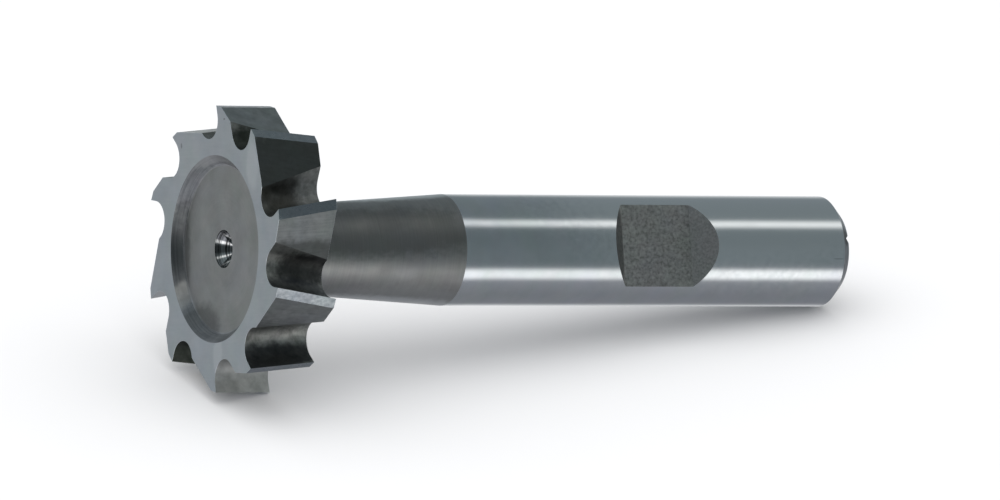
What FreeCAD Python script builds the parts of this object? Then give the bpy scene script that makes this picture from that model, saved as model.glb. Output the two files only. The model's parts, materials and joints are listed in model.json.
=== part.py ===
import FreeCAD, Part
import math
import os

# Keyseat cutter, all sizes in millimetres and degrees.
# It is turned and ground from one bar of tool steel, so it is one solid.
# It is drawn standing on the end of its shank, teeth on top, and laid down at the end.

# Overall sizes
cutter_diameter = 25.5
head_width = 6.0
overall_length = 63.0
shank_diameter = 10.0
shank_length = 40.0
neck_diameter = 7.7        # at the back of the head, from where it tapers up to the shank
neck_fillet_radius = 0.8

# Teeth, which lean to one side and the other in turn
tooth_pairs = 5
first_tooth_angle = 89.6   # of the first cutting edge, at the middle of the head's width
tooth_lean = 9.5           # of a cutting edge from the axis
land_width = 0.95
land_relief = 10.0
back_relief = 37.5
rake_angle = 12.5
gullet_depth = 2.98
gullet_root_radius = 1.75
gullet_flank_angle = 38.0  # of the gullet's far wall from the tangent at the edge

# Side faces of the head, hollow ground so that only the tips rub
front_dish_angle = 1.5
rear_dish_angle = 3.0
recess_diameter = 16.7
recess_depth = 1.05
recess_wall_run = 0.85     # how far the recess wall leans inwards on its way down
recess_corner_radius = 0.4

# Centre holes, drilled in both ends for grinding between centres
centre_pilot_diameter = 1.6
centre_mouth_diameter = 3.4
centre_cone_angle = 60.0
centre_hole_depth = 3.9
drill_point_angle = 118.0

# Shank
shank_chamfer = 1.0
flat_depth = 1.65
flat_length = 7.0
flat_centre_from_end = 19.6
flat_ramp_to_neck = 1.6
flat_ramp_to_end = 2.0
flat_angle = 7.0           # the way the clamping flat faces, measured like the teeth

# A small nick in the rim of the shank's end
nick_angle = 15.0
nick_width = 0.7
nick_depth = 0.3

# The cutter lies on these two teeth, counted clockwise from the first as 0
resting_teeth = (5, 6)

# Room for a cutting solid to start and end clear of the metal
clearance = 1.0

# Worked out from the sizes above
tip_radius = cutter_diameter / 2
shank_radius = shank_diameter / 2
tooth_count = 2 * tooth_pairs
tooth_pitch = 360.0 / tooth_count
head_top = overall_length
head_bottom = overall_length - head_width
head_middle = overall_length - head_width / 2
recess_rim_radius = recess_diameter / 2
recess_floor_radius = recess_rim_radius - recess_wall_run
recess_floor = head_top - recess_depth
flat_low = flat_centre_from_end - flat_length / 2
flat_high = flat_centre_from_end + flat_length / 2
# The shank's wall is two faces, which meet just before the flat
shank_seam = flat_low - flat_ramp_to_end - clearance
lean_slope = math.tan(math.radians(tooth_lean))
axis_up = FreeCAD.Vector(0, 0, 1)


def radial(angle, length=1.0):
    """Vector across the axis, at an angle counted anticlockwise from above."""
    turn = math.radians(angle)
    return FreeCAD.Vector(length * math.cos(turn), length * math.sin(turn), 0)


def rounded_outline(corners):
    """Closed wire in the XZ plane through (radius, height, fillet) corners."""
    points = [FreeCAD.Vector(r, 0, z) for r, z, fillet in corners]
    edges = []
    starts = []
    ends = []
    for index, (r, z, fillet) in enumerate(corners):
        here = points[index]
        if fillet == 0:
            starts.append(here)
            ends.append(here)
            continue
        before = (points[index - 1] - here).normalize()
        after = (points[(index + 1) % len(points)] - here).normalize()
        half_turn = before.getAngle(after) / 2
        reach = fillet / math.tan(half_turn)
        middle_way = (before + after).normalize()
        middle = here + middle_way * (fillet / math.sin(half_turn) - fillet)
        starts.append(here + before * reach)
        ends.append(here + after * reach)
        edges.append(Part.Arc(starts[-1], middle, ends[-1]).toShape())
    for index in range(len(points)):
        start = ends[index]
        end = starts[(index + 1) % len(points)]
        edges.append(Part.LineSegment(start, end).toShape())
    return Part.Wire(Part.__sortEdges__(edges))


def centre_hole_profile(mouth, inward):
    """Corners of a centre hole, from its mouth to its tip, inward being +1 or -1 along Z."""
    mouth_radius = centre_mouth_diameter / 2
    pilot_radius = centre_pilot_diameter / 2
    cone_length = (mouth_radius - pilot_radius) / math.tan(math.radians(centre_cone_angle / 2))
    point_length = pilot_radius / math.tan(math.radians(drill_point_angle / 2))
    return [
        (mouth_radius, mouth, 0),
        (pilot_radius, mouth + inward * cone_length, 0),
        (pilot_radius, mouth + inward * (centre_hole_depth - point_length), 0),
        (0, mouth + inward * centre_hole_depth, 0),
    ]


def turned_blank():
    """The whole cutter as it leaves the lathe, before its teeth and flat are cut."""
    blank_radius = tip_radius + land_width / 4   # a little stock, which the lands take off
    front_slope = math.tan(math.radians(front_dish_angle))
    rear_slope = math.tan(math.radians(rear_dish_angle))
    neck_radius = neck_diameter / 2
    corners = []
    corners += reversed(centre_hole_profile(recess_floor, -1))
    corners += [
        (recess_floor_radius, recess_floor, recess_corner_radius),
        (recess_rim_radius, head_top - (tip_radius - recess_rim_radius) * front_slope, 0),
        (blank_radius, head_top + (blank_radius - tip_radius) * front_slope, 0),
        (blank_radius, head_bottom - (blank_radius - tip_radius) * rear_slope, 0),
        (neck_radius, head_bottom + (tip_radius - neck_radius) * rear_slope, neck_fillet_radius),
        (shank_radius, shank_length, 0),
        (shank_radius, shank_seam, 0),
        (shank_radius, shank_chamfer, 0),
        (shank_radius - shank_chamfer, 0, 0),
    ]
    corners += centre_hole_profile(0, 1)
    outline = Part.Face(rounded_outline(corners))
    return outline.revolve(FreeCAD.Vector(0, 0, 0), axis_up, 360)


def gullet_root():
    """Centre of the gullet's round root, and where its straight walls touch it, seen from the edge."""
    rake = math.radians(rake_angle)
    flank = math.radians(gullet_flank_angle)
    down_the_rake = FreeCAD.Vector(-math.sin(rake), -math.cos(rake), 0)
    off_the_rake = FreeCAD.Vector(math.cos(rake), -math.sin(rake), 0)
    height = gullet_root_radius - gullet_depth
    rake_length = (height - gullet_root_radius * off_the_rake.y) / down_the_rake.y
    rake_end = down_the_rake * rake_length
    centre = rake_end + off_the_rake * gullet_root_radius
    flank_start = centre + FreeCAD.Vector(math.sin(flank), -math.cos(flank), 0) * gullet_root_radius
    return centre, rake_end, flank_start


def gullet_section():
    """Outline of a gullet in front of a cutting edge: X along the turn, Y outwards, edge at the origin."""
    rake = math.radians(rake_angle)
    flank = math.radians(gullet_flank_angle)
    centre, rake_end, flank_start = gullet_root()
    root_bottom = centre - FreeCAD.Vector(0, gullet_root_radius, 0)
    rake_top = FreeCAD.Vector(math.sin(rake), math.cos(rake), 0) * clearance
    flank_length = (clearance - flank_start.y) / math.sin(flank)
    flank_top = flank_start + FreeCAD.Vector(math.cos(flank), math.sin(flank), 0) * flank_length
    return [
        Part.LineSegment(rake_top, rake_end).toShape(),
        Part.Arc(rake_end, root_bottom, flank_start).toShape(),
        Part.LineSegment(flank_start, flank_top).toShape(),
        Part.LineSegment(flank_top, rake_top).toShape(),
    ]


def along_land(distance):
    """Point on the land, at a distance behind the cutting edge."""
    land = math.radians(land_relief)
    return FreeCAD.Vector(-math.cos(land), -math.sin(land), 0) * distance


def relief_section():
    """Outline of what is ground off behind a cutting edge: its narrow land, then its steeper back."""
    back = math.radians(back_relief)
    along_back = FreeCAD.Vector(-math.cos(back), -math.sin(back), 0)
    land_start = along_land(-clearance / 2)
    heel = along_land(land_width)
    # The back runs on to beside the root of the next gullet, so that it ends in open air
    turn = math.radians(tooth_pitch)
    centre = gullet_root()[0] + FreeCAD.Vector(0, tip_radius, 0)
    next_root = FreeCAD.Vector(
        centre.x * math.cos(turn) - centre.y * math.sin(turn),
        centre.x * math.sin(turn) + centre.y * math.cos(turn) - tip_radius, 0)
    back_end = heel + along_back * (next_root - heel).dot(along_back)
    outwards = FreeCAD.Vector(0, clearance, 0)
    back_top = FreeCAD.Vector(back_end.x, 0, 0) + outwards
    land_top = FreeCAD.Vector(land_start.x, 0, 0) + outwards
    corners = [land_start, heel, back_end, back_top, land_top, land_start]
    return Part.makePolygon(corners).Edges


def tooth_cut(section, angle, lean):
    """Solid that a section sweeps past a tooth, leaning one way (+1) or the other (-1)."""
    outwards = radial(angle)
    along_turn = radial(angle + 90)
    down = along_turn * (lean * lean_slope) - axis_up
    edge_middle = radial(angle, tip_radius) + axis_up * head_middle
    start = edge_middle - down * (head_width / 2 + clearance)
    face = Part.Face(Part.Wire(section))
    face.Placement = FreeCAD.Placement(
        start, FreeCAD.Rotation(along_turn, outwards, axis_up * -1, "XYZ"))
    return face.extrude(down * (head_width + 2 * clearance))


def tooth_angle(index):
    """Angle of a cutting edge at the middle of the head's width; the teeth count clockwise."""
    return first_tooth_angle - index * tooth_pitch


def tooth_leaning(index):
    """+1 or -1: odd and even teeth lean opposite ways."""
    return 1 if index % 2 == 0 else -1


def tooth_cuts():
    """All gullets and reliefs around the head."""
    cuts = []
    for index in range(tooth_count):
        angle = tooth_angle(index)
        lean = tooth_leaning(index)
        cuts.append(tooth_cut(gullet_section(), angle, lean))
        cuts.append(tooth_cut(relief_section(), angle, lean))
    return cuts


def clamping_flat_cut():
    """The flat that a holder's screw presses on, with a ramp up to the shank at each end."""
    facing = radial(flat_angle)
    across = radial(flat_angle + 90)
    floor = shank_radius - flat_depth
    rise = (flat_depth + clearance) / flat_depth
    corners = [
        (floor, flat_low),
        (floor, flat_high),
        (shank_radius + clearance, flat_high + flat_ramp_to_neck * rise),
        (shank_radius + clearance, flat_low - flat_ramp_to_end * rise),
        (floor, flat_low),
    ]
    half_width = shank_radius + clearance
    outline = Part.makePolygon([facing * n + axis_up * z - across * half_width for n, z in corners])
    return Part.Face(outline).extrude(across * (2 * half_width))


def nick_cut():
    """A wedge across the inner rim of the shank's end chamfer."""
    rim_slant = math.radians(22.5)   # halfway between the end face and the 45 degree chamfer
    outwards = radial(nick_angle)
    across = radial(nick_angle + 90)
    off_the_rim = outwards * math.sin(rim_slant) - axis_up * math.cos(rim_slant)
    along_the_cut = outwards * math.cos(rim_slant) + axis_up * math.sin(rim_slant)
    rim = outwards * (shank_radius - shank_chamfer)
    bottom = rim - off_the_rim * nick_depth
    half_width = nick_width / 2 * (nick_depth + clearance) / nick_depth
    top = rim + off_the_rim * clearance
    wedge = Part.makePolygon([bottom, top + across * half_width, top - across * half_width, bottom])
    wedge.translate(along_the_cut * -clearance)
    return Part.Face(wedge).extrude(along_the_cut * (2 * clearance))


def rear_corner(index, on_tooth):
    """A point of a tooth's section, given from its cutting edge, at the back of the head."""
    angle = tooth_angle(index)
    sideways = on_tooth.x + tooth_leaning(index) * lean_slope * head_width / 2
    return radial(angle, tip_radius + on_tooth.y) + radial(angle + 90, sideways) + axis_up * head_bottom


def resting_corners():
    """The two corners of the head that it lies on: the heel of one land, the edge of its neighbour."""
    heel_tooth, edge_tooth = resting_teeth
    heel = rear_corner(heel_tooth, along_land(land_width))
    edge = rear_corner(edge_tooth, FreeCAD.Vector(0, 0, 0))
    return heel, edge


def resting_rotation():
    """Turns the standing cutter onto its two lowest corners and the rim of its shank."""
    heel, edge = resting_corners()
    down = axis_up.cross(edge - heel).normalize()
    drop = down.dot(heel)
    tilt = math.atan((drop - shank_radius) / (head_bottom - shank_chamfer))
    side = down.cross(axis_up)
    # The axis comes to lie along -X, so that the shank's end is at +X, a little lower than the head
    new_axis = FreeCAD.Vector(-math.cos(tilt), 0, math.sin(tilt))
    new_down = FreeCAD.Vector(-math.sin(tilt), 0, -math.cos(tilt))
    new_side = new_down.cross(new_axis)
    before = FreeCAD.Rotation(side, down, axis_up, "ZYX")
    after = FreeCAD.Rotation(new_side, new_down, new_axis, "ZYX")
    return after.multiply(before.inverted())


def resting_placement(standing):
    """The rotation, and the move that puts the box's bottom centre at the origin."""
    placement = FreeCAD.Placement(FreeCAD.Vector(0, 0, 0), resting_rotation())
    turned = standing.copy()
    turned.Placement = placement
    box = turned.optimalBoundingBox(False, False)
    placement.Base = FreeCAD.Vector(-box.Center.x, -box.Center.y, -box.ZMin)
    return placement


def keyseat_cutter():
    """The finished cutter, still standing."""
    cutter = turned_blank().cut(tooth_cuts() + [clamping_flat_cut(), nick_cut()])
    return cutter.Solids[0]


def print_place(name, placement, point, direction):
    """Prints where an interface lies, in metres, and the way it faces."""
    place = placement.multVec(point) / 1000
    facing = placement.Rotation.multVec(direction)
    print(name, [round(c, 6) for c in place], [round(c, 6) for c in facing])


os.makedirs("parts", exist_ok=True)
cutter = keyseat_cutter()
lying = resting_placement(cutter)
print_place("shank", lying, axis_up * ((shank_chamfer + shank_length) / 2), axis_up * -1)
print_place("clamping_flat", lying,
            radial(flat_angle, shank_radius - flat_depth) + axis_up * flat_centre_from_end,
            radial(flat_angle))
cutter.Placement = lying
cutter.exportStep("parts/keyseat_cutter.step")
print("valid", cutter.isValid(), "volume", round(cutter.Volume, 2), "box", cutter.optimalBoundingBox(False, False))
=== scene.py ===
import json
import math
import time

import bpy
from mathutils import Matrix, Vector


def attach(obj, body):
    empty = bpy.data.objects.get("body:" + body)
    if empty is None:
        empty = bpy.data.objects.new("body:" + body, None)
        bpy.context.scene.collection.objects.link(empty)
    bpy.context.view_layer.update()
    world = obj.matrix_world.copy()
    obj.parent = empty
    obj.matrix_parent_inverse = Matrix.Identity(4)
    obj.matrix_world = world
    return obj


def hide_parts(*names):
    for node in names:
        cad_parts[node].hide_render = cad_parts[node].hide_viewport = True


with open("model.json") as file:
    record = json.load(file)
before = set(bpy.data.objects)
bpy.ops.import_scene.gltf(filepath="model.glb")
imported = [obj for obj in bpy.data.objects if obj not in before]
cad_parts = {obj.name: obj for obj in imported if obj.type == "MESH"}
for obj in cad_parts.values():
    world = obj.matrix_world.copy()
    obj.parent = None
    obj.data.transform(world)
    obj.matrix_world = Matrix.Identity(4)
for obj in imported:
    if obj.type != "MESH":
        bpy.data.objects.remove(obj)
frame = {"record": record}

started = time.time()
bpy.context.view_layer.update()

# The cutter, in millimetres and degrees, standing on the end of its shank
form = {
    "diameter": 25.5, "headWidth": 6.0, "length": 63.0, "shankDiameter": 10.0, "shankLength": 40.0,
    "neckDiameter": 7.7, "neckFillet": 0.8,
    "pairs": 5, "firstTooth": 89.6, "lean": 9.5, "land": 0.95, "landRelief": 10.0, "backRelief": 37.5,
    "rake": 12.5, "gulletDepth": 2.98, "gulletRoot": 1.75, "gulletFlank": 38.0,
    "frontDish": 1.5, "rearDish": 3.0,
    "recess": 16.7, "recessDepth": 1.05, "recessRun": 0.85, "recessCorner": 0.4,
    "pilot": 1.6, "mouth": 3.4, "cone": 60.0, "centreDepth": 3.9, "drillPoint": 118.0,
    "chamfer": 1.0, "flatDepth": 1.65, "flatLength": 7.0, "flatFromEnd": 19.6, "flatRampNeck": 1.6,
    "flatRampEnd": 2.0, "flatAngle": 7.0,
    "nickAngle": 15.0, "nickWidth": 0.7, "nickDepth": 0.3,
    "nickSlant": 22.5,   # halfway between the end face and its chamfer
    "stock": 0.25,       # left on the blank outside the teeth
    "clear": 1.0,        # how far a cutting block reaches past the metal
    "turns": 256,        # faces round the blank
    "groundTo": 40.1,    # where the bright shank ends and the turned neck begins
    "honed": 0.03,       # width of the broken edges
    "honedFrom": 24.0,   # corners sharper than this are broken
    "smoothTo": 19.0,    # faces that meet at less than this look round
}

# How finely the mesh is drawn
grain = {
    "recessSteps": 8, "filletSteps": 12, "rootSteps": 24, "shankParts": 16,
    "spunMerge": 0.0005,   # corners nearer than this become one, on the blank
    "cutMerge": 0.004,     # and after the teeth are cut
    "shortEdge": 0.001,
}

# The finishes, in the order of the piece's material slots
finishes = ["shankGround", "neckTurned", "sideGround", "recessFloor", "recessWall", "gulletMilled",
            "landGround", "backGround", "flatMilled", "flatRamp", "centreDrilledPaintedShade", "endTurned",
            "honedEdgeAndGlint"]
slotOf = {name: index for index, name in enumerate(finishes)}
materials = [bpy.data.materials.new(name) for name in finishes]


def sine(angle):
    return math.sin(math.radians(angle))


def cosine(angle):
    return math.cos(math.radians(angle))


def tangent(angle):
    return math.tan(math.radians(angle))


def radial(angle, length=1.0):   # a vector across the tool's axis
    return Vector((length * cosine(angle), length * sine(angle), 0))


def deselect():
    if bpy.context.object and bpy.context.object.mode != "OBJECT":
        bpy.ops.object.mode_set(mode="OBJECT")
    bpy.ops.object.select_all(action="DESELECT")


def choose(piece):
    deselect()
    piece.select_set(True)
    bpy.context.view_layer.objects.active = piece


def firstPoint(name, point):   # a new object in edit mode that holds one point
    deselect()
    bpy.ops.mesh.primitive_plane_add(size=1)
    piece = bpy.context.object
    piece.name = name
    piece.data.name = name
    for material in materials:
        piece.data.materials.append(material)
    bpy.ops.object.mode_set(mode="EDIT")
    bpy.ops.mesh.merge(type="CENTER")
    bpy.ops.transform.translate(value=point)
    return piece


def drawOn(points):   # runs edges on from the selected first point
    for before, after in zip(points, points[1:]):
        bpy.ops.mesh.extrude_vertices_move(TRANSFORM_OT_translate={"value": after - before})


def roundedCorner(before, corner, after, radius, steps):   # points of the arc that rounds a corner
    back = (before - corner).normalized()
    on = (after - corner).normalized()
    half = back.angle(on) / 2
    centre = corner + (back + on).normalized() * (radius / math.sin(half))
    first = corner + back * (radius / math.tan(half)) - centre
    last = corner + on * (radius / math.tan(half)) - centre
    sweep = first.angle(last)
    points = []
    for step in range(steps + 1):
        share = step / steps
        mix = first * math.sin((1 - share) * sweep) + last * math.sin(share * sweep)
        points.append(centre + mix / math.sin(sweep))
    return points


# The turned blank
def at(radius, height):
    return Vector((radius, 0, height))


def centreHole(mouth, inward):   # from the mouth to the tip
    wide, narrow = form["mouth"] / 2, form["pilot"] / 2
    return [at(wide, mouth), at(narrow, mouth + inward * (wide - narrow) / tangent(form["cone"] / 2)),
            at(narrow, mouth + inward * (form["centreDepth"] - narrow / tangent(form["drillPoint"] / 2))),
            at(0, mouth + inward * form["centreDepth"])]


top = form["length"]
under = form["length"] - form["headWidth"]
tip = form["diameter"] / 2
outside = tip + form["stock"]
neck = form["neckDiameter"] / 2
shank = form["shankDiameter"] / 2
rim = form["recess"] / 2
floorEdge = rim - form["recessRun"]
recessFloor = top - form["recessDepth"]

print("stage: blank")
rimPoint = at(rim, top - (tip - rim) * tangent(form["frontDish"]))
frontHole = list(reversed(centreHole(recessFloor, -1)))
neckRoot = at(neck, under + (tip - neck) * tangent(form["rearDish"]))
rearOutside = at(outside, under - (outside - tip) * tangent(form["rearDish"]))
shankStart = at(shank, form["shankLength"])
profile = frontHole
profile += roundedCorner(frontHole[-1], at(floorEdge, recessFloor), rimPoint, form["recessCorner"],
                         grain["recessSteps"])
profile += [rimPoint, at(outside, top + (outside - tip) * tangent(form["frontDish"])), rearOutside]
profile += roundedCorner(rearOutside, neckRoot, shankStart, form["neckFillet"], grain["filletSteps"])
parts = grain["shankParts"]
profile += [at(shank, form["shankLength"] * (1 - part / parts)) for part in range(parts)]
profile += [at(shank, form["chamfer"]), at(shank - form["chamfer"], 0)]
profile += centreHole(0, 1)

cutter = firstPoint("cutterSteel", profile[0])
drawOn(profile)
bpy.ops.mesh.select_all(action="SELECT")
bpy.ops.mesh.spin(steps=form["turns"], angle=2 * math.pi, center=(0, 0, 0), axis=(0, 0, 1))
bpy.ops.mesh.select_all(action="SELECT")
bpy.ops.mesh.remove_doubles(threshold=grain["spunMerge"])
bpy.ops.mesh.normals_make_consistent(inside=False)
deselect()

near = 0.01   # how near a face's middle comes to a border and still counts as past it
for face in cutter.data.polygons:   # the finish of each face, by its place
    height = face.center.z
    radius = math.hypot(face.center.x, face.center.y)
    if radius < form["mouth"] / 2 and height < recessFloor - near / 10:
        finish = "centreDrilledPaintedShade"
    elif height > recessFloor - near and radius < floorEdge - near * 5:
        finish = "recessFloor"
    elif height > recessFloor - near and radius < rim:
        finish = "recessWall"
    elif height > under - near * 10 and radius > neck + form["neckFillet"] * 0.9:
        finish = "sideGround"
    elif height > form["groundTo"]:
        finish = "neckTurned"
    elif height > form["chamfer"]:
        finish = "shankGround"
    else:
        finish = "endTurned"
    face.material_index = slotOf[finish]


# Blocks that cut the teeth, the flat and the nick
def sweptBlock(name, section, angle, leaning):
    outwards, along = radial(angle), radial(angle + 90)
    reach = form["headWidth"] / 2 + form["clear"]
    sweep = along * (leaning * tangent(form["lean"])) - Vector((0, 0, 1))
    middle = radial(angle, tip) + Vector((0, 0, top - form["headWidth"] / 2))
    corners = [middle - sweep * reach + along * x + outwards * y for x, y in section]
    block = firstPoint(name, corners[0])
    drawOn(corners)
    bpy.ops.mesh.select_all(action="SELECT")
    bpy.ops.mesh.edge_face_add()
    bpy.ops.mesh.extrude_region_move(TRANSFORM_OT_translate={"value": sweep * (2 * reach)})
    bpy.ops.mesh.select_all(action="SELECT")
    bpy.ops.mesh.normals_make_consistent(inside=False)
    deselect()
    return block


def gulletSection():   # x along the turn, y outwards, the cutting edge at the origin
    rake, flank, root, clear = form["rake"], form["gulletFlank"], form["gulletRoot"], form["clear"]
    down = Vector((-sine(rake), -cosine(rake)))
    off = Vector((cosine(rake), -sine(rake)))
    rakeLength = (root - form["gulletDepth"] - root * off.y) / down.y
    centre = down * rakeLength + off * root
    steps = grain["rootSteps"]
    points = [-down * clear]
    for step in range(steps + 1):   # round the root from the rake face to the far wall
        here = 180 - rake + (90 + flank + rake) * step / steps
        points.append(centre + Vector((cosine(here), sine(here))) * root)
    wallLength = (clear - points[-1].y) / sine(flank)
    points.append(points[-1] + Vector((cosine(flank), sine(flank))) * wallLength)
    return points, centre


def reliefSection(rootCentre):
    land, back, clear = form["landRelief"], form["backRelief"], form["clear"]
    alongLand = Vector((-cosine(land), -sine(land)))
    alongBack = Vector((-cosine(back), -sine(back)))
    heel = alongLand * form["land"]
    landStart = alongLand * (-clear / 2)
    pitch = 180 / form["pairs"]
    centre = rootCentre + Vector((0, tip))
    nextRoot = Vector((centre.x * cosine(pitch) - centre.y * sine(pitch),
                       centre.x * sine(pitch) + centre.y * cosine(pitch) - tip))
    backEnd = heel + alongBack * (nextRoot - heel).dot(alongBack)
    return [landStart, heel, backEnd, Vector((backEnd.x, clear)), Vector((landStart.x, clear))]


def turnedCopies(block):   # one for each pair of teeth, all in one object
    blocks = [block]
    for copy in range(1, form["pairs"]):
        choose(block)
        bpy.ops.object.duplicate()
        other = bpy.context.object
        other.rotation_euler.z = math.radians(-360 / form["pairs"] * copy)
        bpy.ops.object.transform_apply(location=False, rotation=True, scale=False)
        blocks.append(other)
    deselect()
    for other in blocks:
        other.select_set(True)
    bpy.context.view_layer.objects.active = block
    bpy.ops.object.join()
    return block


def cutAway(block):
    choose(cutter)
    bpy.ops.object.modifier_add(type="BOOLEAN")
    cut = cutter.modifiers[-1]
    cut.operation = "DIFFERENCE"
    cut.solver = "EXACT"
    cut.material_mode = "INDEX"
    cut.object = block
    bpy.ops.object.modifier_apply(modifier=cut.name)
    bpy.data.objects.remove(block)


print("stage: teeth")
section, rootCentre = gulletSection()
for index, leaning in ((0, 1), (1, -1)):
    angle = form["firstTooth"] - index * 180 / form["pairs"]
    along = radial(angle + 90)
    gullet = sweptBlock("gulletBlock", section, angle, leaning)
    for face in gullet.data.polygons:
        face.material_index = slotOf["gulletMilled"]
    relief = sweptBlock("reliefBlock", reliefSection(rootCentre), angle, leaning)
    for face in relief.data.polygons:   # the back is steeper than the land
        steep = face.normal.dot(along) > sine((form["landRelief"] + form["backRelief"]) / 2)
        face.material_index = slotOf["backGround" if steep else "landGround"]
    cutAway(turnedCopies(gullet))
    cutAway(turnedCopies(relief))


def honeEdges(first, second):   # breaks the sharp edges between two groups of finishes
    mesh = cutter.data
    beside = {edge.key: [] for edge in mesh.edges}
    for face in mesh.polygons:
        for key in face.edge_keys:
            beside[key].append(face)
    weights = mesh.attributes.new("bevel_weight_edge", "FLOAT", "EDGE")
    for edge in mesh.edges:
        faces = beside[edge.key]
        names = {finishes[face.material_index] for face in faces}
        turn = faces[0].normal.angle(faces[1].normal, 0)
        if names & first and names & second and turn > math.radians(form["honedFrom"]):
            weights.data[edge.index].value = 1.0
    choose(cutter)
    bpy.ops.object.modifier_add(type="BEVEL")
    bevel = cutter.modifiers[-1]
    bevel.width = form["honed"]
    bevel.segments = 1
    bevel.limit_method = "WEIGHT"
    bevel.use_clamp_overlap = False
    bevel.material = slotOf["honedEdgeAndGlint"]
    bpy.ops.object.modifier_apply(modifier=bevel.name)
    mesh.attributes.remove(mesh.attributes["bevel_weight_edge"])


print("stage: edges")
choose(cutter)
bpy.ops.object.mode_set(mode="EDIT")
bpy.ops.mesh.select_all(action="SELECT")
bpy.ops.mesh.remove_doubles(threshold=grain["cutMerge"])
bpy.ops.mesh.dissolve_degenerate(threshold=grain["shortEdge"])
bpy.ops.object.mode_set(mode="OBJECT")
honeEdges({"sideGround"}, {"gulletMilled", "landGround", "backGround"})

print("stage: flat")
facing, across = radial(form["flatAngle"]), radial(form["flatAngle"] + 90)
low = form["flatFromEnd"] - form["flatLength"] / 2
high = form["flatFromEnd"] + form["flatLength"] / 2
rise = (form["flatDepth"] + form["clear"]) / form["flatDepth"]
base = shank - form["flatDepth"]
reach = shank + form["clear"]
outline = [(base, low), (base, high), (reach, high + form["flatRampNeck"] * rise),
           (reach, low - form["flatRampEnd"] * rise)]
corners = [facing * n + Vector((0, 0, z)) - across * reach for n, z in outline]
flat = firstPoint("flatBlock", corners[0])
drawOn(corners)
bpy.ops.mesh.select_all(action="SELECT")
bpy.ops.mesh.edge_face_add()
bpy.ops.mesh.extrude_region_move(TRANSFORM_OT_translate={"value": across * (2 * reach)})
bpy.ops.mesh.select_all(action="SELECT")
bpy.ops.mesh.normals_make_consistent(inside=False)
deselect()
for face in flat.data.polygons:
    level = face.normal.dot(facing) < -0.99
    face.material_index = slotOf["flatMilled" if level else "flatRamp"]
cutAway(flat)

slant = form["nickSlant"]
offRim = radial(form["nickAngle"], sine(slant)) - Vector((0, 0, cosine(slant)))
alongNick = radial(form["nickAngle"], cosine(slant)) + Vector((0, 0, sine(slant)))
acrossNick = radial(form["nickAngle"] + 90)
nickReach = form["nickDepth"] + form["clear"]
bottom = radial(form["nickAngle"], shank - form["chamfer"])
bottom -= offRim * form["nickDepth"] + alongNick * form["clear"]
halfMouth = form["nickWidth"] / 2 * nickReach / form["nickDepth"]
mouth = bottom + offRim * nickReach
corners = [bottom, mouth + acrossNick * halfMouth, mouth - acrossNick * halfMouth]
nick = firstPoint("nickBlock", corners[0])
drawOn(corners)
bpy.ops.mesh.select_all(action="SELECT")
bpy.ops.mesh.edge_face_add()
bpy.ops.mesh.extrude_region_move(TRANSFORM_OT_translate={"value": alongNick * (2 * form["clear"])})
bpy.ops.mesh.select_all(action="SELECT")
bpy.ops.mesh.normals_make_consistent(inside=False)
deselect()
for face in nick.data.polygons:
    face.material_index = slotOf["endTurned"]
cutAway(nick)

choose(cutter)
bpy.ops.object.shade_smooth_by_angle(angle=math.radians(form["smoothTo"]))

# Laid down as the record's mounts say
mounts = {mount["name"]: mount for mount in frame["record"]["mounts"]}
axis = -Vector(mounts["shank"]["axis"]).normalized()
flatWay = Vector(mounts["clamping_flat"]["axis"]).normalized()
flatSide = axis.cross(flatWay)
firstWay = flatWay * cosine(form["flatAngle"]) - flatSide * sine(form["flatAngle"])
secondWay = axis.cross(firstWay)
shankMiddle = (form["chamfer"] + form["shankLength"]) / 2
foot = Vector(mounts["shank"]["pos_m"]) - axis * shankMiddle / 1000
lying = Matrix((firstWay, secondWay, axis)).transposed().to_4x4()
lying.translation = foot
choose(cutter)
cutter.matrix_world = lying @ Matrix.Scale(0.001, 4)
bpy.ops.object.transform_apply(location=True, rotation=True, scale=True)
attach(cutter, "root")
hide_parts("keyseat_cutter")
print("stage: cutter", len(cutter.data.polygons), "faces", round(time.time() - started, 1), "s")

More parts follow.
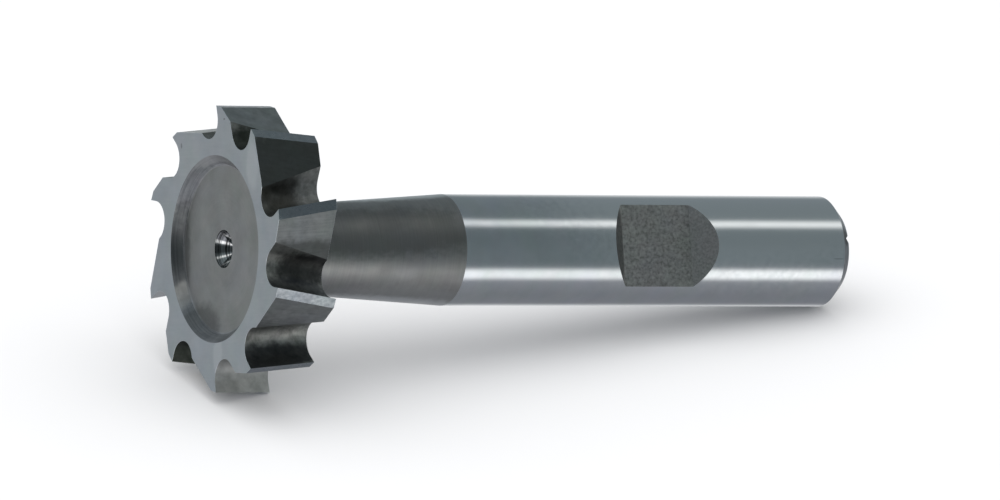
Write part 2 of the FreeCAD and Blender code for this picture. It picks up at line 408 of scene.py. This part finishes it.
# Finishes. Their patterns lie in the standing tool's own millimetres: round marks run round the axis,
# long ones along it, and straight ones at an angle on a side face. Depths are in thousandths of a
# millimetre, and "from" is the tone below which the dark colour stays unmixed.
looks = {
    "shankGround": {"dark": (0.51, 0.53, 0.54), "light": (0.58, 0.595, 0.605),
                    "patch": 2.4, "rough": (0.165, 0.185),
                    "marks": "round", "spacing": 0.09, "depth": 0.2, "tone": 0.3},
    "neckTurned": {"dark": (0.285, 0.285, 0.275), "light": (0.37, 0.365, 0.35),
                   "patch": 3.0, "rough": (0.42, 0.52),
                   "marks": "round", "spacing": 0.12, "depth": 0.5, "tone": 0.5},
    "sideGround": {"dark": (0.49, 0.52, 0.535), "light": (0.57, 0.59, 0.60),
                   "patch": 2.6, "rough": (0.28, 0.36),
                   "marks": "straight", "spacing": 0.22, "depth": 0.2, "tone": 0.35, "turn": 90},
    "recessFloor": {"dark": (0.365, 0.365, 0.35), "light": (0.44, 0.435, 0.42),
                    "patch": 2.6, "rough": (0.4, 0.5),
                    "marks": "round", "spacing": 0.16, "depth": 0.4, "tone": 0.35},
    "recessWall": {"dark": (0.27, 0.275, 0.285), "light": (0.57, 0.57, 0.57),
                   "patch": 0.7, "rough": (0.3, 0.42),
                   "marks": "round", "spacing": 0.16, "depth": 1.2, "tone": 0.75},
    "gulletMilled": {"dark": (0.18, 0.183, 0.17), "light": (0.49, 0.485, 0.455),
                     "patch": 1.1, "rough": (0.50, 0.62),
                     "marks": "round", "spacing": 0.2, "depth": 0.8, "tone": 0.2},
    "landGround": {"dark": (0.25, 0.275, 0.295), "light": (0.38, 0.40, 0.415),
                   "patch": 0.4, "rough": (0.26, 0.38),
                   "marks": "long", "spacing": 0.14, "depth": 0.3, "tone": 0.3},
    "backGround": {"dark": (0.24, 0.25, 0.24), "light": (0.40, 0.405, 0.395),
                   "patch": 0.9, "rough": (0.3, 0.42),
                   "marks": "straight", "spacing": 0.15, "depth": 0.4, "tone": 0.4, "turn": 40},
    "flatMilled": {"dark": (0.21, 0.205, 0.195), "light": (0.475, 0.465, 0.445),
                   "patch": 0.3, "rough": (0.42, 0.55),
                   "marks": "straight", "spacing": 0.13, "depth": 0.8, "tone": 0.15, "turn": 0},
    # the ramps are coloured lighter than the milled flat as painted light
    "flatRamp": {"dark": (0.31, 0.305, 0.30), "light": (0.64, 0.63, 0.62),
                 "patch": 0.22, "rough": (0.35, 0.5),
                 "marks": "round", "spacing": 0.13, "depth": 0.8, "tone": 0.3},
    # the near-black colour in the centre hole is painted shade, and its near-white rings are painted
    # highlights
    "centreDrilledPaintedShade": {"dark": (0.015, 0.015, 0.016), "light": (0.9, 0.9, 0.9),
                      "patch": 0.3, "rough": (0.08, 0.12),
                      "marks": "round", "spacing": 0.2, "depth": 1.0, "tone": 0.9, "from": 0.1},
    "endTurned": {"dark": (0.21, 0.225, 0.235), "light": (0.32, 0.335, 0.345),
                  "patch": 0.8, "rough": (0.3, 0.42),
                  "marks": "round", "spacing": 0.1, "depth": 0.5, "tone": 0.5},
    # the broken edges are real bevels, and their colour, lighter than the steel, is a painted highlight
    # along them
    "honedEdgeAndGlint": {"dark": (0.74, 0.77, 0.78), "light": (0.88, 0.90, 0.91),
                  "patch": 0.5, "rough": (0.45, 0.55),
                  "marks": "long", "spacing": 0.2, "depth": 0.0, "tone": 0.3},
}


def addNode(tree, kind, **settings):
    node = tree.nodes.new(kind)
    for name, value in settings.items():
        setattr(node, name, value)
    return node


def plug(tree, value, socket):   # a socket is linked, and anything else is set
    if isinstance(value, bpy.types.NodeSocket):
        tree.links.new(value, socket)
    else:
        socket.default_value = value


def calculate(tree, operation, first, second=0.0):
    node = addNode(tree, "ShaderNodeMath", operation=operation)
    plug(tree, first, node.inputs[0])
    plug(tree, second, node.inputs[1])
    return node.outputs[0]


def spread(tree, value, low, high, fromLow=0.0, fromHigh=1.0, soft=False):   # a range to another range
    node = addNode(tree, "ShaderNodeMapRange", interpolation_type="SMOOTHSTEP" if soft else "LINEAR")
    plug(tree, value, node.inputs["Value"])
    plug(tree, fromLow, node.inputs["From Min"])
    plug(tree, fromHigh, node.inputs["From Max"])
    plug(tree, low, node.inputs["To Min"])
    plug(tree, high, node.inputs["To Max"])
    return node.outputs["Result"]


def blend(tree, share, first, second, how="MIX"):
    node = addNode(tree, "ShaderNodeMix", data_type="RGBA", blend_type=how)
    plug(tree, share, node.inputs[0])
    plug(tree, first, node.inputs[6])
    plug(tree, second, node.inputs[7])
    return node.outputs[2]


def newGroup(name, inputs, outputs):
    group = bpy.data.node_groups.new(name, "ShaderNodeTree")
    for label, kind in inputs:
        group.interface.new_socket(name=label, in_out="INPUT", socket_type="NodeSocket" + kind)
    for label, kind in outputs:
        group.interface.new_socket(name=label, in_out="OUTPUT", socket_type="NodeSocket" + kind)
    return group, addNode(group, "NodeGroupInput"), addNode(group, "NodeGroupOutput")


def useGroup(tree, group, **values):
    node = addNode(tree, "ShaderNodeGroup", node_tree=group)
    for label, value in values.items():
        plug(tree, value, node.inputs[label])
    return node.outputs[0]


def split(tree, vector):
    node = addNode(tree, "ShaderNodeSeparateXYZ")
    plug(tree, vector, node.inputs[0])
    return node.outputs


def combine(tree, *values):
    node = addNode(tree, "ShaderNodeCombineXYZ")
    for value, socket in zip(values, node.inputs):
        plug(tree, value, socket)
    return node.outputs[0]


def noise(tree, vector, scale=1.0, detail=2.0, roughness=0.5):
    node = addNode(tree, "ShaderNodeTexNoise")
    plug(tree, vector, node.inputs["Vector"])
    plug(tree, scale, node.inputs["Scale"])
    plug(tree, detail, node.inputs["Detail"])
    plug(tree, roughness, node.inputs["Roughness"])
    return node.outputs["Fac"]


def layAlong(tree, x, y, turn):   # how far a point lies that way across the tool
    slope = calculate(tree, "RADIANS", turn)
    first = calculate(tree, "MULTIPLY", x, calculate(tree, "COSINE", slope))
    second = calculate(tree, "MULTIPLY", y, calculate(tree, "SINE", slope))
    return calculate(tree, "ADD", first, second)


def markGroup(kind):   # fine tool marks from 0 to 1, a spacing apart
    inputs = [("Place", "Vector"), ("Spacing", "Float"), ("Turn", "Float")]
    group, given, result = newGroup(kind + "Marks", inputs, [("Marks", "Float")])
    place, spacing, turn = given.outputs[0], given.outputs[1], given.outputs[2]
    x, y, z = split(group, place)
    squares = calculate(group, "ADD", calculate(group, "MULTIPLY", x, x), calculate(group, "MULTIPLY", y, y))
    radius = calculate(group, "SQRT", squares)
    if kind == "round":
        crossing = calculate(group, "ADD", z, radius)
        slow = (calculate(group, "MULTIPLY", x, 0.2), calculate(group, "MULTIPLY", y, 0.2))
    elif kind == "long":
        crossing = calculate(group, "MULTIPLY", calculate(group, "ARCTAN2", y, x), radius)
        slow = (calculate(group, "MULTIPLY", z, 0.5), calculate(group, "MULTIPLY", radius, 0.5))
    else:
        crossing = layAlong(group, x, y, turn)
        lengthwise = layAlong(group, x, y, calculate(group, "ADD", turn, 90.0))
        slow = (calculate(group, "MULTIPLY", lengthwise, 0.35), calculate(group, "MULTIPLY", z, 0.35))
    lines = noise(group, combine(group, calculate(group, "DIVIDE", crossing, spacing), *slow), roughness=0.6)
    plug(group, spread(group, lines, 0.0, 1.0, 0.3, 0.7), result.inputs[0])
    return group


def patchGroup():   # a cloudy tone from 0 to 1, of about the given size
    inputs = [("Place", "Vector"), ("Size", "Float")]
    group, given, result = newGroup("steelPatches", inputs, [("Tone", "Float")])
    scale = calculate(group, "DIVIDE", 1.0, given.outputs[1])
    clouds = noise(group, given.outputs[0], scale, detail=4.0, roughness=0.6)
    plug(group, spread(group, clouds, 0.0, 1.0, 0.32, 0.68), result.inputs[0])
    return group


def castGroup():   # the faint green, blue and violet cast of bare steel
    group, given, result = newGroup("steelCast", [("Place", "Vector")], [("Cast", "Color")])
    blueness = spread(group, noise(group, given.outputs[0], 0.28), 0.0, 1.0, 0.35, 0.65)
    redness = spread(group, noise(group, given.outputs[0], 0.6), 0.0, 0.5, 0.4, 0.62)
    cast = blend(group, blueness, (0.96, 1.0, 0.985, 1), (0.97, 0.985, 1.03, 1))
    plug(group, blend(group, redness, cast, (1.0, 0.98, 1.0, 1)), result.inputs[0])
    return group


def spotGroup():   # a ragged spot round a point, from 0 to 1
    inputs = [("Place", "Vector"), ("Centre", "Vector"), ("Size", "Vector")]
    group, given, result = newGroup("raggedSpot", inputs, [("Spot", "Float")])
    off = given.outputs[0]
    for number, operation in ((1, "SUBTRACT"), (2, "DIVIDE")):
        step = addNode(group, "ShaderNodeVectorMath", operation=operation)
        plug(group, off, step.inputs[0])
        plug(group, given.outputs[number], step.inputs[1])
        off = step.outputs[0]
    length = addNode(group, "ShaderNodeVectorMath", operation="LENGTH")
    plug(group, off, length.inputs[0])
    far = length.outputs["Value"]
    ragged = calculate(group, "SUBTRACT", noise(group, given.outputs[0], 1.6, 4.0, 0.6), 0.5)
    far = calculate(group, "ADD", far, calculate(group, "MULTIPLY", ragged, 0.45))
    plug(group, spread(group, far, 1.0, 0.0, 0.6, 1.1, True), result.inputs[0])
    return group


markGroups = {kind: markGroup(kind) for kind in ("round", "long", "straight")}
patches = patchGroup()
steelCast = castGroup()
raggedSpot = spotGroup()


def toolPlace(tree):   # where a point lies on the standing tool, in millimetres
    coordinates = addNode(tree, "ShaderNodeTexCoord")
    mapping = addNode(tree, "ShaderNodeMapping", vector_type="TEXTURE")
    mapping.inputs["Location"].default_value = lying.translation
    mapping.inputs["Rotation"].default_value = lying.to_euler()
    mapping.inputs["Scale"].default_value = (0.001, 0.001, 0.001)
    tree.links.new(coordinates.outputs["Object"], mapping.inputs["Vector"])
    return mapping.outputs[0]


# Painted shade, painted highlights and a few real marks: where each lies, in degrees round the axis and in
# millimetres off it and up it, how large it is in x, y and z, and how much of its colour covers the finishes
# it is on. The dark places in the gullets, on C's land and back, on the neck, in the recess, on the flat's
# ramp and in the nick are painted shade, and the light places on gullets F and H, the neck, the recess wall
# and the shank are painted highlights; B's back has a dark patch and the side faces have lighter patches,
# and the shank scratch and the two specks are real wear.
spots = {
    # painted shade in gullet A
    "gulletA": {"round": 100.0, "off": 10.9, "height": 61.5, "size": (2.6, 2.6, 4.0), "share": 0.35,
                "colour": (0.03, 0.036, 0.03), "on": ("gulletMilled",)},
    # painted shade in gullet B
    "gulletB": {"round": 61.0, "off": 10.8, "height": 61.0, "size": (3.1, 3.1, 4.5), "share": 0.88,
                "colour": (0.02, 0.027, 0.02), "on": ("gulletMilled",)},
    "backB": {"round": 41.0, "off": 11.2, "height": 60.5, "size": (3.6, 3.6, 7.5), "share": 0.75,
              "colour": (0.018, 0.021, 0.016), "on": ("backGround",)},
    # painted shade in gullet C
    "gulletC": {"round": 27.0, "off": 10.3, "height": 59.0, "size": (3.2, 3.2, 6.5), "share": 0.28,
                "colour": (0.03, 0.03, 0.03), "on": ("gulletMilled",)},
    # painted shade at the front of gullet C
    "gulletCFront": {"round": 24.0, "off": 10.3, "height": 61.8, "size": (2.0, 2.0, 3.2), "share": 0.7,
                     "colour": (0.03, 0.028, 0.02), "on": ("gulletMilled",)},
    # painted shade deep in gullet C
    "gulletCSpot": {"round": 31.5, "off": 10.6, "height": 60.6, "size": (1.1, 1.1, 1.8), "share": 0.6,
                    "colour": (0.015, 0.016, 0.014), "on": ("gulletMilled",)},
    # painted shade, a dark reflection, on tooth C's land
    "landC": {"round": 17.0, "off": 12.6, "height": 60.0, "size": (1.5, 1.5, 6.0), "share": 0.4,
              "colour": (0.05, 0.07, 0.09), "on": ("landGround",)},
    # painted shade on tooth C's back where it turns into the gullet
    "backC": {"round": -3.0, "off": 10.9, "height": 60.0, "size": (1.6, 1.6, 8.0), "share": 0.6,
              "colour": (0.03, 0.033, 0.028), "on": ("backGround",)},
    # painted shade deep in gullet D
    "gulletD": {"round": -10.5, "off": 10.4, "height": 59.0, "size": (1.75, 1.75, 3.9), "share": 0.85,
                "colour": (0.012, 0.013, 0.013), "on": ("gulletMilled",)},
    # painted shade low in gullet D
    "gulletDLow": {"round": -18.0, "off": 11.2, "height": 60.0, "size": (1.4, 1.4, 6.0), "share": 0.6,
                   "colour": (0.03, 0.035, 0.045), "on": ("gulletMilled",)},
    # painted shade along the bottom of gullet E
    "gulletE": {"round": -56.0, "off": 11.72, "height": 60.0, "size": (1.55, 1.55, 9.0), "share": 0.8,
                "colour": (0.016, 0.019, 0.025), "on": ("gulletMilled",)},
    # painted highlight on tooth F's rake face
    "gulletF": {"round": -88.0, "off": 11.4, "height": 60.0, "size": (3.2, 3.2, 7.0), "share": 0.5,
                "colour": (0.66, 0.66, 0.64), "on": ("gulletMilled",)},
    # painted shade in gullet G
    "gulletG": {"round": -125.0, "off": 11.2, "height": 61.0, "size": (3.0, 3.0, 5.0), "share": 0.88,
                "colour": (0.02, 0.027, 0.02), "on": ("gulletMilled",)},
    # painted highlight in gullet H
    "gulletH": {"round": -157.0, "off": 11.9, "height": 61.5, "size": (2.2, 2.2, 3.0), "share": 0.8,
                "colour": (0.95, 0.97, 0.98), "on": ("gulletMilled",)},
    # painted shade on the neck under the head
    "neckRoot": {"round": 12.0, "off": 4.0, "height": 58.0, "size": (2.8, 1.9, 5.0), "share": 0.3,
                 "colour": (0.02, 0.022, 0.018), "on": ("neckTurned",)},
    # painted shade along the middle of the neck
    "neckDark": {"round": 22.0, "off": 4.2, "height": 51.0, "size": (3.3, 2.75, 19.0), "share": 0.42,
                 "colour": (0.02, 0.022, 0.018), "on": ("neckTurned",)},
    # painted highlight on the neck's lower side
    "neckLowPaintedHighlight": {"round": -75.0, "off": 4.5, "height": 44.0, "size": (2.8, 2.8, 9.0), "share": 0.45,
                 "colour": (0.52, 0.53, 0.52), "on": ("neckTurned",)},
    # painted rim highlight along the top of the neck
    "neckTop": {"round": 90.0, "off": 5.2, "height": 45.0, "size": (2.2, 1.4, 13.0), "share": 0.8,
                "colour": (0.78, 0.82, 0.82), "on": ("neckTurned",)},
    # painted rim highlight along the underside of the neck
    "neckUnder": {"round": -90.0, "off": 5.0, "height": 46.0, "size": (2.6, 1.6, 14.0), "share": 0.7,
                  "colour": (0.74, 0.76, 0.77), "on": ("neckTurned",)},
    # painted shade, a dark reflection, on the left of the recess wall
    "recessWall": {"round": 180.0, "off": 8.0, "height": 62.2, "size": (3.0, 7.0, 1.3), "share": 0.66,
                   "colour": (0.03, 0.032, 0.035), "on": ("recessWall",)},
    # painted glint on the recess wall at the lower left
    "recessPaintedGlint": {"round": 211.0, "off": 8.1, "height": 62.5, "size": (1.1, 1.8, 1.1), "share": 0.3,
                   "colour": (0.80, 0.77, 0.73), "on": ("recessWall",)},
    # painted shade in the recess's corner on the left
    "recessCorner": {"round": 180.0, "off": 7.8, "height": 62.0, "size": (1.6, 6.8, 0.6), "share": 0.45,
                     "colour": (0.04, 0.042, 0.045), "on": ("recessFloor",)},
    # painted highlight on the top of the recess wall
    "recessTop": {"round": 95.0, "off": 8.1, "height": 63.0, "size": (4.5, 1.7, 1.0), "share": 0.4,
                  "colour": (0.80, 0.80, 0.79), "on": ("recessWall",)},
    # painted shade on the floor and wall low in the recess
    "recessLowPaintedShade": {"round": 240.0, "off": 8.1, "height": 62.3, "size": (3.9, 2.6, 1.6), "share": 0.48,
                    "colour": (0.05, 0.055, 0.055), "on": ("recessFloor", "recessWall")},
    # painted highlight over the shank's upper side
    "shankPaintedHighlight": {"round": 60.0, "off": 4.0, "height": 10.0, "size": (7.2, 7.2, 24.0), "share": 0.9,
                  "colour": (0.70, 0.72, 0.73), "on": ("shankGround",)},
    # painted shade on the flat's ramp towards the neck
    "rampDark": {"round": 7.0, "off": 4.2, "height": 24.2, "size": (4.5, 4.5, 1.6), "share": 0.75,
                 "colour": (0.03, 0.04, 0.04), "on": ("flatRamp",)},
    "shankScratch": {"round": -8.4, "off": 5.0, "height": 1.6, "size": (0.5, 0.06, 0.65), "share": 0.28,
                     "colour": (0.06, 0.06, 0.06), "on": ("shankGround",)},
    # painted shade inside the nick
    "nickDark": {"round": 15.0, "off": 4.7, "height": 0.5, "size": (0.9, 0.9, 0.9), "share": 0.9,
                 "colour": (0.02, 0.02, 0.02), "on": ("endTurned",)},
    "speckJ": {"round": 123.5, "off": 11.1, "height": 62.85, "size": (0.16, 0.3, 0.3), "share": 0.5,
               "colour": (0.1, 0.1, 0.1), "on": ("sideGround",)},
    "speckA": {"round": 79.7, "off": 11.7, "height": 62.85, "size": (0.2, 0.12, 0.3), "share": 0.55,
               "colour": (0.1, 0.1, 0.1), "on": ("sideGround",)},
    "sideB": {"round": 45.0, "off": 10.3, "height": 63.0, "size": (1.3, 2.4, 1.4), "share": 0.4,
              "colour": (0.76, 0.78, 0.79), "on": ("sideGround",)},
    "sideF": {"round": 274.0, "off": 9.4, "height": 63.0, "size": (1.0, 1.8, 1.4), "share": 0.4,
              "colour": (0.76, 0.77, 0.79), "on": ("sideGround",)},
}


def steel(name, look):
    tree = materials[slotOf[name]].node_tree
    shader = tree.nodes["Principled BSDF"]
    shader.inputs["Metallic"].default_value = 1.0
    place = toolPlace(tree)
    cloud = useGroup(tree, patches, Place=place, Size=look["patch"])
    marks = useGroup(tree, markGroups[look["marks"]], Place=place, Spacing=look["spacing"],
                     Turn=look.get("turn", 0.0))
    tone = calculate(tree, "ADD", calculate(tree, "MULTIPLY", cloud, 1 - look["tone"]),
                     calculate(tree, "MULTIPLY", marks, look["tone"]))
    tone = spread(tree, tone, 0.0, 1.0, look.get("from", 0.0), 1.0)
    colour = blend(tree, tone, (*look["dark"], 1), (*look["light"], 1))
    colour = blend(tree, 1.0, colour, useGroup(tree, steelCast, Place=place), "MULTIPLY")
    # lays the spots' painted shade, painted highlights and real marks over the finish colour
    for spot in spots.values():
        if name in spot["on"]:
            centre = radial(spot["round"], spot["off"]) + Vector((0, 0, spot["height"]))
            mask = useGroup(tree, raggedSpot, Place=place, Centre=centre, Size=spot["size"])
            share = calculate(tree, "MULTIPLY", mask, spot["share"])
            colour = blend(tree, share, colour, (*spot["colour"], 1))
    plug(tree, colour, shader.inputs["Base Color"])
    plug(tree, spread(tree, cloud, look["rough"][1], look["rough"][0]), shader.inputs["Roughness"])
    if look["depth"]:
        bump = addNode(tree, "ShaderNodeBump")
        bump.inputs["Strength"].default_value = 1.0
        bump.inputs["Distance"].default_value = look["depth"] * 1e-6
        tree.links.new(marks, bump.inputs["Height"])
        tree.links.new(bump.outputs["Normal"], shader.inputs["Normal"])


for name in finishes:
    materials[slotOf[name]].use_nodes = True
    steel(name, looks[name])
print("stage: finishes")

# Studio
floorLook = {"size": 3.0, "colour": (0.86, 0.865, 0.87), "rough": 0.9}
deselect()
bpy.ops.mesh.primitive_plane_add(size=floorLook["size"])
floor = bpy.context.object
floor.name = "paleFloor"
floorMaterial = bpy.data.materials.new("palePaper")
floorMaterial.use_nodes = True
paper = floorMaterial.node_tree.nodes["Principled BSDF"]
paper.inputs["Base Color"].default_value = (*floorLook["colour"], 1)
paper.inputs["Roughness"].default_value = floorLook["rough"]
paper.inputs["Specular IOR Level"].default_value = 0.0
floor.data.materials.append(floorMaterial)
floor.visible_glossy = False   # the steel mirrors the light tent and not the floor

# The light tent that the steel mirrors. Its walls and strip lamps are given round the tool's axis, in
# degrees from the side that faces the camera. Its other lamps, and the dim place round the camera where
# the walls give only a share of their light, have that angle and their rise along the axis in degrees.
tent = {
    "walls": ((-180, 0.30, (0.88, 0.93, 1.0)), (-110, 0.33, (0.90, 0.93, 1.0)),
              (-62, 0.42, (0.90, 0.93, 1.0)), (-18, 0.27, (0.80, 0.94, 1.0)),
              (20, 0.235, (0.79, 0.94, 1.0)), (70, 0.27, (0.81, 0.95, 1.0)),
              (180, 0.30, (0.80, 0.92, 1.0))),
    "strips": {
        "upper": {"round": 57, "half": 1, "edge": 13, "light": 1.05},
        "lower": {"round": -51.5, "half": 4, "edge": 17, "light": 1.3},
    },
    "stripEnds": (-37, -31.5),
    "lamps": {
        "paperBehind": {"round": 179.3, "rise": -28.8, "inner": 8, "outer": 36, "light": 0.6},
        "rightLamp": {"round": 15, "rise": -61, "inner": 8, "outer": 27, "light": 0.8},
        "leftPaper": {"round": 180, "rise": 37, "inner": 20, "outer": 70, "light": 0.19},
    },
    "lampTint": (1.0, 0.985, 0.96),
    "camera": {"round": -0.7, "rise": 28.8, "inner": 16, "outer": 42, "share": 0.25},
    "background": (0.93, 0.935, 0.94),
    "onFloor": (0.9, 0.9, 0.91),
}


def awayFrom(tree, direction, place):   # degrees between a direction and the middle of a place
    middle = radial(place["round"], cosine(place["rise"])) + Vector((0, 0, sine(place["rise"])))
    facing = addNode(tree, "ShaderNodeVectorMath", operation="DOT_PRODUCT")
    tree.links.new(direction, facing.inputs[0])
    facing.inputs[1].default_value = middle
    return calculate(tree, "DEGREES", calculate(tree, "ARCCOSINE", facing.outputs["Value"]))


world = bpy.data.worlds.new("lightTent")
bpy.context.scene.world = world
world.use_nodes = True
air = world.node_tree
background = air.nodes["Background"]
coordinates = addNode(air, "ShaderNodeTexCoord")
mapping = addNode(air, "ShaderNodeMapping", vector_type="TEXTURE")
mapping.inputs["Rotation"].default_value = lying.to_euler()
air.links.new(coordinates.outputs["Generated"], mapping.inputs["Vector"])
direction = mapping.outputs[0]
wayX, wayY, wayZ = split(air, direction)
roundAxis = calculate(air, "DEGREES", calculate(air, "ARCTAN2", wayY, wayX))
walls = addNode(air, "ShaderNodeValToRGB")
plug(air, spread(air, roundAxis, 0.0, 1.0, -180.0, 180.0), walls.inputs[0])
ramp = walls.color_ramp
ramp.interpolation = "EASE"
for turn, level, tint in tent["walls"][1:-1]:
    ramp.elements.new((turn + 180) / 360)
for stop, (turn, level, tint) in zip(ramp.elements, tent["walls"]):
    stop.position = (turn + 180) / 360
    stop.color = [level * part for part in tint] + [1]
lampLight = 0.0
ends = calculate(air, "DEGREES", calculate(air, "ARCSINE", wayZ))
ends = spread(air, ends, 0.0, 1.0, *tent["stripEnds"], True)
for strip in tent["strips"].values():
    off = calculate(air, "ABSOLUTE", calculate(air, "SUBTRACT", roundAxis, strip["round"]))
    glow = spread(air, off, strip["light"], 0.0, strip["half"], strip["edge"], True)
    lampLight = calculate(air, "ADD", lampLight, calculate(air, "MULTIPLY", glow, ends))
for shade in tent["lamps"].values():
    away = awayFrom(air, direction, shade)
    glow = spread(air, away, shade["light"], 0.0, shade["inner"], shade["outer"], True)
    lampLight = calculate(air, "ADD", lampLight, glow)
dim = tent["camera"]
away = awayFrom(air, direction, dim)
share = spread(air, away, dim["share"], 1.0, dim["inner"], dim["outer"], True)
mirrored = blend(air, 1.0, walls.outputs[0], combine(air, share, share, share), "MULTIPLY")
tinted = [calculate(air, "MULTIPLY", lampLight, part) for part in tent["lampTint"]]
mirrored = blend(air, 1.0, mirrored, combine(air, *tinted), "ADD")
rays = addNode(air, "ShaderNodeLightPath")
soft = blend(air, rays.outputs["Is Diffuse Ray"], mirrored, (*tent["onFloor"], 1))
seen = blend(air, rays.outputs["Is Camera Ray"], soft, (*tent["background"], 1))
plug(air, seen, background.inputs["Color"])

# A large soft lamp over the floor, which the steel doesn't mirror
lamp = {"place": (-0.2, -0.1, 0.8), "size": 1.5, "watts": 4.5}
bpy.ops.object.light_add(type="AREA", location=lamp["place"])
softLamp = bpy.context.object
softLamp.name = "softLamp"
softLamp.data.size = lamp["size"]
softLamp.data.energy = lamp["watts"]
softLamp.rotation_euler = (-Vector(lamp["place"])).to_track_quat("-Z", "Y").to_euler()
softLamp.visible_glossy = False

# The photo's view of the tool, as the camera that was fitted to its tooth corners gives it
view = {"place": (-0.60901, -1.13964, 0.48455), "turn": (69.7707, -2.5921, -27.0920),
        "lens": 551.77, "sensor": 36.0, "farthest": 20.0}
bpy.ops.object.camera_add(location=view["place"], rotation=[math.radians(part) for part in view["turn"]])
camera = bpy.context.object
camera.data.lens = view["lens"]
camera.data.sensor_width = view["sensor"]
camera.data.clip_end = view["farthest"]
bpy.context.scene.camera = camera
bpy.context.scene.view_settings.view_transform = "Standard"

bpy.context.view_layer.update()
print("stage: studio", round(time.time() - started, 1), "s")
